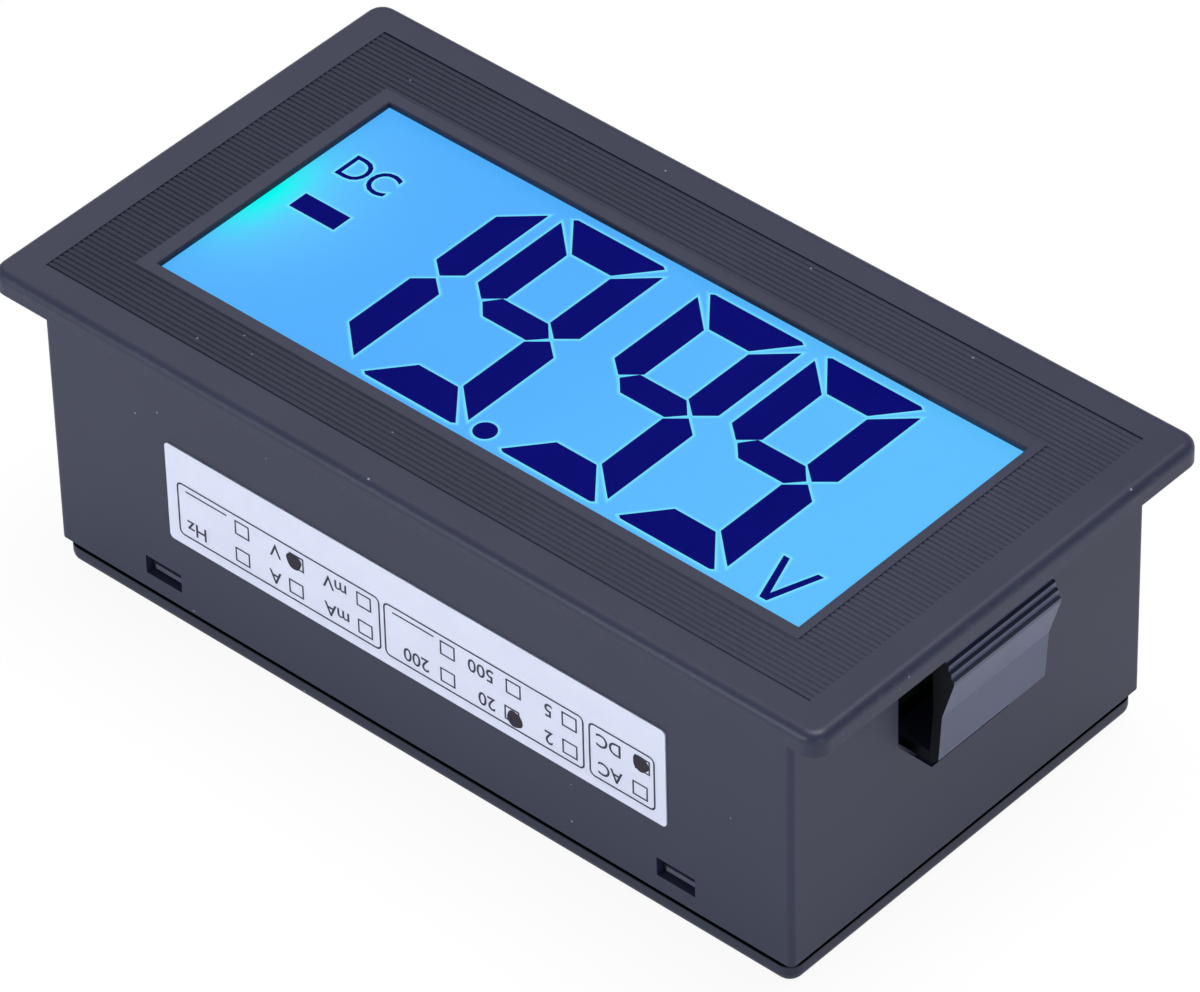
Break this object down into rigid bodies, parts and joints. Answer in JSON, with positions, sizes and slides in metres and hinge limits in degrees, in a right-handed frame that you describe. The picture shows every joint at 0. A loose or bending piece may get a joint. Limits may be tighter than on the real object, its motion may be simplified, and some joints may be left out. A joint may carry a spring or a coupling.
{
  "type": "digital panel meter",
  "caption": "Rectangular panel-mounting digital meter with a backlit segment display, ribbed bezel, snap clips at both ends and recessed screw terminals at the rear.",
  "frame": {"origin": "middle of the rear cover's outer face, on which the meter lies", "axes": "+Z out of the display, +X to the display's right along its width, +Y to its top"},
  "size_m": [0.079, 0.042, 0.027],
  "materials": {
    "case_plastic": "fine satin, dark grey moulded ABS",
    "clip_plastic": "satin, dark grey moulded nylon",
    "label_film": "pale smooth sticker film",
    "front_film": "clear glossy film",
    "display_glass": "clear polished glass",
    "cell_seal": "dull epoxy bead",
    "segment_ink": "dark navy, even",
    "rear_film": "sky blue, lit from behind",
    "diffuser_film": "milky film",
    "guide_acrylic": "clear acrylic",
    "white_plastic": "matte white",
    "lamp_body": "white lamp housing",
    "board_laminate": "green solder mask",
    "tinned_metal": "bright tin plate",
    "chip_plastic": "matte black moulding",
    "capacitor_red": "dipped, glossy",
    "capacitor_sleeve": "shrunk sleeve",
    "resistor_lacquer": "pale blue lacquer",
    "trimmer_plastic": "glossy blue moulding",
    "trimmer_brass": "turned brass",
    "terminal_plastic": "matte black moulding",
    "screw_steel": "bright zinc plate"
  },
  "bodies": {
    "meter": {"front_housing": "case_plastic", "rear_cover": "case_plastic", "range_label": "label_film", "front_polarizer": "front_film", "front_glass": "display_glass", "cell_seal": "cell_seal", "lcd_segments": "segment_ink", "rear_glass": "display_glass", "rear_polarizer": "rear_film", "diffuser_sheet": "diffuser_film", "light_guide": "guide_acrylic", "backlight_tray": "white_plastic", "backlight_led": "lamp_body", "led_board": "board_laminate", "lcd_pins_upper": "tinned_metal", "lcd_pins_lower": "tinned_metal", "main_board": "board_laminate", "converter_chip": "chip_plastic", "film_capacitor_1": "capacitor_red", "film_capacitor_2": "capacitor_red", "film_capacitor_3": "capacitor_red", "can_capacitor_1": "capacitor_sleeve", "can_capacitor_2": "capacitor_sleeve", "resistors": "resistor_lacquer", "voltage_regulator": "chip_plastic", "trimmer_body": "trimmer_plastic", "terminal_block": "terminal_plastic", "terminal_plate_1": "tinned_metal", "terminal_plate_2": "tinned_metal", "terminal_plate_3": "tinned_metal", "terminal_plate_4": "tinned_metal"},
    "clip_right": {"snap_clip_right": "clip_plastic"},
    "clip_left": {"snap_clip_left": "clip_plastic"},
    "trimmer": {"trimmer_screw": "trimmer_brass"},
    "screw_1": {"terminal_screw_1": "screw_steel"},
    "screw_2": {"terminal_screw_2": "screw_steel"},
    "screw_3": {"terminal_screw_3": "screw_steel"},
    "screw_4": {"terminal_screw_4": "screw_steel"}
  },
  "joints": [
    {"name": "clip_right_flex", "type": "hinge", "parent": "meter", "child": "clip_right", "pos_m": [0.0333, 0, 0.0097], "axis": [0, -1, 0], "range_deg": [0, 6], "stiffness_Nm_per_rad": 0.3},
    {"name": "clip_left_flex", "type": "hinge", "parent": "meter", "child": "clip_left", "pos_m": [-0.0333, 0, 0.0097], "axis": [0, 1, 0], "range_deg": [0, 6], "stiffness_Nm_per_rad": 0.3},
    {"name": "trimmer_turn", "type": "hinge", "parent": "meter", "child": "trimmer", "pos_m": [0.0262, 0.0085, 0.0024], "axis": [0, 0, -1], "continuous": true},
    {"name": "terminal_screw_1_back_off", "type": "slide", "parent": "meter", "child": "screw_1", "axis": [0, 0, -1], "range_m": [0, 0.002]},
    {"name": "terminal_screw_2_back_off", "type": "slide", "parent": "meter", "child": "screw_2", "axis": [0, 0, -1], "range_m": [0, 0.002]},
    {"name": "terminal_screw_3_back_off", "type": "slide", "parent": "meter", "child": "screw_3", "axis": [0, 0, -1], "range_m": [0, 0.002]},
    {"name": "terminal_screw_4_back_off", "type": "slide", "parent": "meter", "child": "screw_4", "axis": [0, 0, -1], "range_m": [0, 0.002]}
  ]
}
